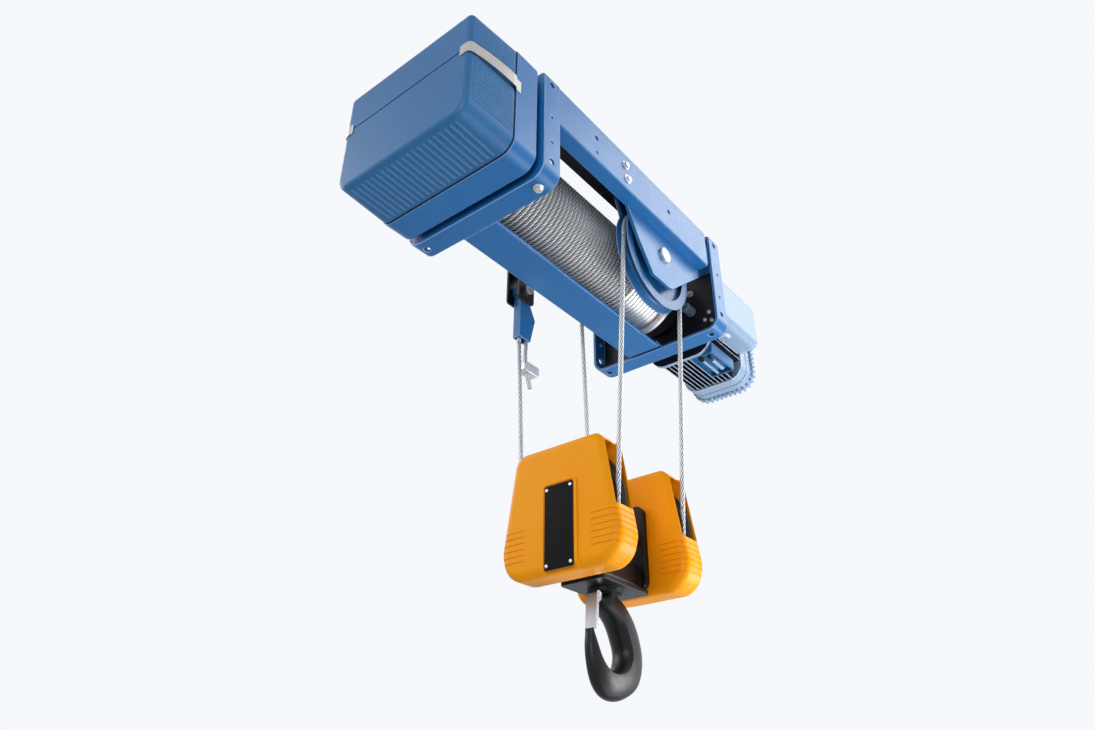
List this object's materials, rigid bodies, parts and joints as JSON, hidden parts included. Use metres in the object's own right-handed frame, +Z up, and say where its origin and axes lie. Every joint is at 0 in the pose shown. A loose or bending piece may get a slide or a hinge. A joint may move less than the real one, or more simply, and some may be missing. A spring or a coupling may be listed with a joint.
{
  "type": "wire rope hoist",
  "caption": "Low-headroom wire rope hoist: a grooved rope drum between deep end plates, with a control box, geared motor and a hook block on rope falls.",
  "frame": {"origin": "centre of the four mounting holes, on the top faces of the end plates", "axes": "+Z up, out of the mounting holes; +X along the drum from the control box to the motor; +Y from the sheave side to the rope anchor side"},
  "size_m": [1.3482, 0.455, 1.2818],
  "materials": {
    "black_plate": "black plain plate",
    "blue_paint": "semi-gloss blue frame paint",
    "cast_iron": "dark casting",
    "cover_blue": "matte blue moulded lid",
    "gasket": "black rubber",
    "gear_plastic": "grey contactor plastic",
    "hook_black": "satin black forging",
    "orange_cover": "glossy orange moulded pulley cover",
    "pale_paint": "pale blue gearbox and motor paint",
    "steel": "bare turned steel",
    "strap_steel": "brushed stainless strip",
    "wire_rope": "galvanised stranded rope",
    "zinc": "bright zinc plated"
  },
  "bodies": {
    "frame": {"near_end_plate": "blue_paint", "far_end_plate": "blue_paint", "side_beam": "blue_paint", "rear_beam": "blue_paint", "beam_splice": "blue_paint", "bottom_beam": "blue_paint", "outer_sheave_plate": "blue_paint", "inner_sheave_plate": "blue_paint", "sheave_pin": "zinc", "top_plate": "blue_paint", "drum_bearings": "cast_iron", "fall_near": "wire_rope", "fall_rear": "wire_rope", "fall_anchor": "wire_rope", "fall_drum": "wire_rope", "upper_rope_bend": "wire_rope", "anchor_bracket": "hook_black", "anchor_pin": "zinc", "wedge_socket": "blue_paint", "wedge": "cast_iron", "anchor_rope": "wire_rope", "tail_clamp": "zinc", "enclosure_base": "blue_paint", "enclosure_gasket": "gasket", "enclosure_cover": "cover_blue", "control_gear": "gear_plastic", "gearbox_housing": "pale_paint", "gearbox_cover": "pale_paint", "motor_housing": "pale_paint", "motor_end_ring": "pale_paint", "fan_cover": "pale_paint", "terminal_box": "cover_blue", "frame_bolts": "zinc"},
    "drum": {"drum_shell": "steel", "drum_hubs": "cast_iron", "drum_shaft": "steel", "rope_wraps": "wire_rope", "rope_core": "wire_rope"},
    "sheave": {"upper_sheave": "blue_paint"},
    "block": {"near_cover_front": "orange_cover", "near_cover_back": "orange_cover", "rear_cover_front": "orange_cover", "rear_cover_back": "orange_cover", "load_plates": "black_plate", "crosshead": "hook_black", "pulley_axle": "steel", "near_rope_bend": "wire_rope", "rear_rope_bend": "wire_rope", "thrust_bearing": "steel"},
    "near_wheel": {"near_pulley": "cast_iron"},
    "rear_wheel": {"rear_pulley": "cast_iron"},
    "hook_body": {"hook": "hook_black", "hook_nut": "steel", "latch_pin": "steel"},
    "latch_body": {"latch": "zinc"},
    "rotor": {"motor_shaft": "steel", "fan": "gear_plastic"},
    "right_strap": {"right_clip": "strap_steel"},
    "left_strap": {"left_clip": "strap_steel"}
  },
  "joints": [
    {"name": "drum_spin", "type": "hinge", "parent": "frame", "child": "drum", "pos_m": [0, 0.009, -0.16], "axis": [1, 0, 0], "range_deg": [-12276, 358]},
    {"name": "hook_lift", "type": "slide", "parent": "frame", "child": "block", "axis": [0, 0, 1], "range_m": [-5.8, 0.17], "deforming": ["fall_near", "fall_rear", "fall_anchor", "fall_drum"]},
    {"name": "upper_sheave_spin", "type": "hinge", "parent": "frame", "child": "sheave", "pos_m": [0.134, -0.144, -0.1946], "axis": [0, 1, 0], "continuous": true},
    {"name": "near_pulley_spin", "type": "hinge", "parent": "block", "child": "near_wheel", "pos_m": [-0.002, 0.041, -0.893], "axis": [1, 0, 0], "continuous": true},
    {"name": "rear_pulley_spin", "type": "hinge", "parent": "block", "child": "rear_wheel", "pos_m": [0.27, 0.041, -0.893], "axis": [1, 0, 0], "continuous": true},
    {"name": "hook_swivel", "type": "hinge", "parent": "block", "child": "hook_body", "pos_m": [0.134, 0.041, -1], "axis": [0, 0, 1], "continuous": true},
    {"name": "latch_hinge", "type": "hinge", "parent": "hook_body", "child": "latch_body", "pos_m": [0.0895, 0.041, -1.066], "axis": [0, 1, 0], "range_deg": [-32, 0], "stiffness_Nm_per_rad": 0.4, "springref_deg": 17.19},
    {"name": "motor_spin", "type": "hinge", "parent": "frame", "child": "rotor", "pos_m": [0.6, -0.037, -0.225], "axis": [1, 0, 0], "continuous": true},
    {"name": "right_clip_hinge", "type": "hinge", "parent": "frame", "child": "right_strap", "pos_m": [-0.48, -0.2057, -0.122], "axis": [0, 0, 1], "range_deg": [0, 110]},
    {"name": "left_clip_hinge", "type": "hinge", "parent": "frame", "child": "left_strap", "pos_m": [-0.48, 0.2137, -0.122], "axis": [0, 0, -1], "range_deg": [0, 110]}
  ],
  "couplings": [
    {"joint": "hook_lift", "follows": "drum_spin", "m_per_rad": 0.027062},
    {"joint": "near_pulley_spin", "follows": "drum_spin", "ratio": -0.19899},
    {"joint": "upper_sheave_spin", "follows": "drum_spin", "ratio": 0.39798},
    {"joint": "rear_pulley_spin", "follows": "drum_spin", "ratio": 0.59697},
    {"joint": "motor_spin", "follows": "drum_spin", "ratio": 40}
  ]
}
